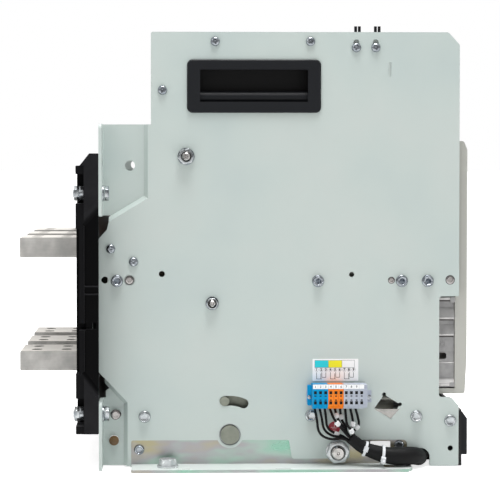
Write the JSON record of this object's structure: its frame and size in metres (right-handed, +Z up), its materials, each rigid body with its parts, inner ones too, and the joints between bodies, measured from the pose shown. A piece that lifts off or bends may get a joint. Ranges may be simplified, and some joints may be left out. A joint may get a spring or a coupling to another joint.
{
  "type": "draw-out air circuit breaker",
  "caption": "Low-voltage three-pole air circuit breaker racked into its draw-out cassette, with rear bar terminals, shutters, racking gear and side terminal blocks.",
  "frame": {"origin": "centre of the four foot holes, in the plane that the feet stand on", "axes": "+X to the right as seen from the front, +Y to the rear terminals, +Z up"},
  "size_m": [0.375, 0.451, 0.4435],
  "materials": {
    "plate_paint": "pale grey-green textured powder coat",
    "zinc": "passivated zinc",
    "bright_zinc": "bright zinc",
    "steel": "plain steel",
    "tinned_copper": "tinned copper, satin",
    "copper": "plain copper",
    "black_mould": "glass-filled black moulding",
    "black_plastic": "black plastic",
    "black_paint": "black powder coat",
    "grey_plastic": "warm grey plastic",
    "shutter_plastic": "red-brown insulating sheet",
    "die_cast": "die-cast aluminium",
    "brown_mould": "brown arc-proof moulding",
    "cable": "black wire and sleeve",
    "white_nylon": "natural nylon",
    "blue_plastic": "blue polyamide",
    "orange_plastic": "orange polyamide",
    "light_plastic": "light grey polyamide",
    "label_film": "printed film, words left out",
    "green_plastic": "green button",
    "red_plastic": "red button",
    "winding": "varnished winding",
    "brass_nut": "brass"
  },
  "bodies": {
    "cassette": {"side_plate_left": "plate_paint", "side_plate_right": "plate_paint", "foot_brackets": "zinc", "base_plate": "zinc", "bearings": "steel", "rear_base": "black_mould", "upper_terminals": "tinned_copper", "lower_terminals": "tinned_copper", "jaw_contacts": "copper", "shutter_posts": "black_mould", "rail_guides": "zinc", "front_panel": "black_paint", "racking_module": "black_plastic", "cross_members": "zinc", "plate_studs": "bright_zinc", "side_bolts": "bright_zinc", "plate_screws": "bright_zinc", "flange_bolts": "bright_zinc", "foot_bolts": "bright_zinc", "earth_bolt": "bright_zinc", "handle_cups": "black_plastic", "secondary_socket": "black_plastic", "blocks_blue": "blue_plastic", "blocks_orange": "orange_plastic", "blocks_grey": "light_plastic", "block_rail": "light_plastic", "labels": "label_film", "block_wires": "cable", "wire_sleeve": "cable", "cable_ties": "white_nylon"},
    "breaker": {"inner_rails": "zinc", "body_plates": "zinc", "pole_housing": "brown_mould", "plug_bars": "tinned_copper", "current_transformers": "black_plastic", "arc_chutes": "brown_mould", "mechanism_frame": "steel", "closing_spring": "steel", "charging_motor": "steel", "release_coils": "winding", "front_frame": "die_cast", "front_cover": "grey_plastic", "controller": "black_plastic", "secondary_plug": "black_plastic"},
    "mid_rails": {"mid_rails": "zinc"},
    "contact_shaft": {"contact_shaft": "copper"},
    "racking_shaft": {"racking_shaft": "zinc"},
    "racking_nut": {"racking_nut": "brass_nut"},
    "racking_screw": {"racking_screw": "steel"},
    "shutter_upper": {"shutter_upper": "shutter_plastic"},
    "shutter_lower": {"shutter_lower": "shutter_plastic"},
    "position_indicator": {"position_indicator": "white_nylon"},
    "release_button": {"release_button": "red_plastic"},
    "crank_handle": {"crank_handle": "steel"},
    "on_button": {"on_button": "green_plastic"},
    "off_button": {"off_button": "red_plastic"},
    "reset_button": {"reset_button": "red_plastic"},
    "charging_handle": {"charging_handle": "black_plastic"},
    "contact_flag": {"contact_flag": "white_nylon"},
    "spring_flag": {"spring_flag": "white_nylon"}
  },
  "joints": [
    {"name": "racking", "type": "slide", "parent": "cassette", "child": "mid_rails", "axis": [0, -1, 0], "range_m": [0, 0.075]},
    {"name": "pull_out", "type": "slide", "parent": "mid_rails", "child": "breaker", "axis": [0, -1, 0], "range_m": [0, 0.25]},
    {"name": "shaft_turn", "type": "hinge", "parent": "cassette", "child": "racking_shaft", "pos_m": [0, 0.0478, 0.0327], "axis": [1, 0, 0], "range_deg": [0, 32.72]},
    {"name": "screw_turn", "type": "hinge", "parent": "cassette", "child": "racking_screw", "pos_m": [0, 0, 0.014], "axis": [0, 1, 0], "range_deg": [0, 3951.9]},
    {"name": "nut_travel", "type": "slide", "parent": "cassette", "child": "racking_nut", "axis": [0, 1, 0], "range_m": [0, 0.01099]},
    {"name": "shutter_upper_slide", "type": "slide", "parent": "cassette", "child": "shutter_upper", "axis": [0, 0, -1], "range_m": [0, 0.04501]},
    {"name": "shutter_lower_slide", "type": "slide", "parent": "cassette", "child": "shutter_lower", "axis": [0, 0, 1], "range_m": [0, 0.04501]},
    {"name": "position_slide", "type": "slide", "parent": "cassette", "child": "position_indicator", "axis": [0, 0, 1], "range_m": [0, 0.01201]},
    {"name": "release_press", "type": "slide", "parent": "cassette", "child": "release_button", "axis": [0, 1, 0], "range_m": [0, 0.003], "stiffness_N_per_m": 800, "springref_m": -0.002},
    {"name": "crank_out", "type": "slide", "parent": "cassette", "child": "crank_handle", "axis": [0, -1, 0], "range_m": [0, 0.16]},
    {"name": "on_press", "type": "slide", "parent": "breaker", "child": "on_button", "axis": [0, 1, 0], "range_m": [0, 0.0025], "stiffness_N_per_m": 600, "springref_m": -0.002},
    {"name": "off_press", "type": "slide", "parent": "breaker", "child": "off_button", "axis": [0, 1, 0], "range_m": [0, 0.0025], "stiffness_N_per_m": 600, "springref_m": -0.002},
    {"name": "reset_press", "type": "slide", "parent": "breaker", "child": "reset_button", "axis": [0, 1, 0], "range_m": [0, 0.0015], "stiffness_N_per_m": 400, "springref_m": -0.002},
    {"name": "charging_swing", "type": "hinge", "parent": "breaker", "child": "charging_handle", "pos_m": [0.011, -0.186, 0.23], "axis": [-1, 0, 0], "range_deg": [0, 70], "stiffness_Nm_per_rad": 0.4, "springref_deg": -28.65},
    {"name": "contacts_close", "type": "hinge", "parent": "breaker", "child": "contact_shaft", "pos_m": [0, -0.006, 0.132], "axis": [-1, 0, 0], "range_deg": [0, 20.5]},
    {"name": "contact_flag_slide", "type": "slide", "parent": "breaker", "child": "contact_flag", "axis": [-1, 0, 0], "range_m": [0, 0.02201]},
    {"name": "spring_flag_slide", "type": "slide", "parent": "breaker", "child": "spring_flag", "axis": [-1, 0, 0], "range_m": [0, 0.022]}
  ],
  "couplings": [
    {"joint": "shaft_turn", "follows": "racking", "rad_per_m": 7.6096},
    {"joint": "screw_turn", "follows": "racking", "rad_per_m": 919.18},
    {"joint": "nut_travel", "follows": "racking", "ratio": 0.14629},
    {"joint": "shutter_upper_slide", "follows": "racking", "ratio": 0.6},
    {"joint": "shutter_lower_slide", "follows": "racking", "ratio": 0.6},
    {"joint": "position_slide", "follows": "racking", "ratio": 0.16},
    {"joint": "contact_flag_slide", "follows": "contacts_close", "m_per_rad": 0.061488}
  ]
}
